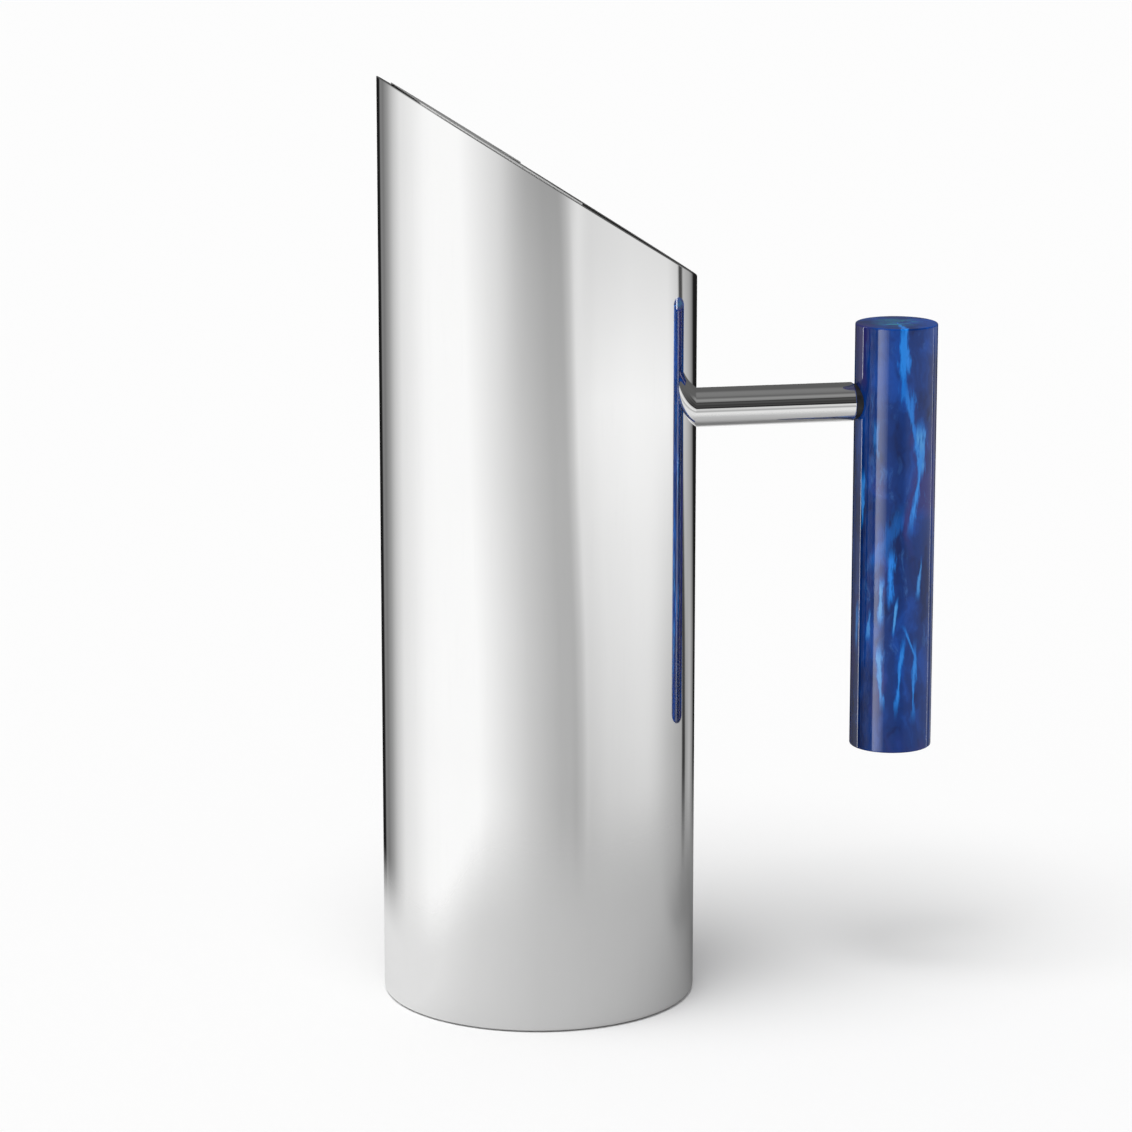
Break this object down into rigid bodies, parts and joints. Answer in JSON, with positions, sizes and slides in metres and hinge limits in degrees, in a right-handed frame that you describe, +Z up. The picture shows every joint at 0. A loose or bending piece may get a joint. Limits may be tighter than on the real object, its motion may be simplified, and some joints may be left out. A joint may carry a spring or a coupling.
{
  "type": "water pitcher",
  "caption": "Tall slant-cut polished metal water pitcher with an ice guard and a vertical marbled resin grip held off one side by a round metal arm.",
  "frame": {"origin": "centre of the resting plane under the base, on the axis of the cylindrical body", "axes": "+Z up along the body axis; +X from the body towards the handle; -X towards the pouring tip; +Y completes the right-handed frame"},
  "size_m": [0.1729, 0.096, 0.2838],
  "materials": {
    "polished_steel": "mirror-polished stainless steel",
    "turned_steel": "turned stainless steel, unpolished",
    "black_gasket": "matt black fibre-filled rubber",
    "insert_brass": "turned brass",
    "marbled_resin": "polished cast resin, marbled deep blue with azure and violet clouds"
  },
  "bodies": {
    "root": {"body_shell": "polished_steel", "base_pan": "polished_steel", "ice_guard": "polished_steel", "handle_arm": "polished_steel", "arm_end_plug": "turned_steel", "grip_stud": "turned_steel", "grip_washer": "black_gasket", "grip_insert": "insert_brass", "handle_grip": "marbled_resin"}
  },
  "joints": []
}
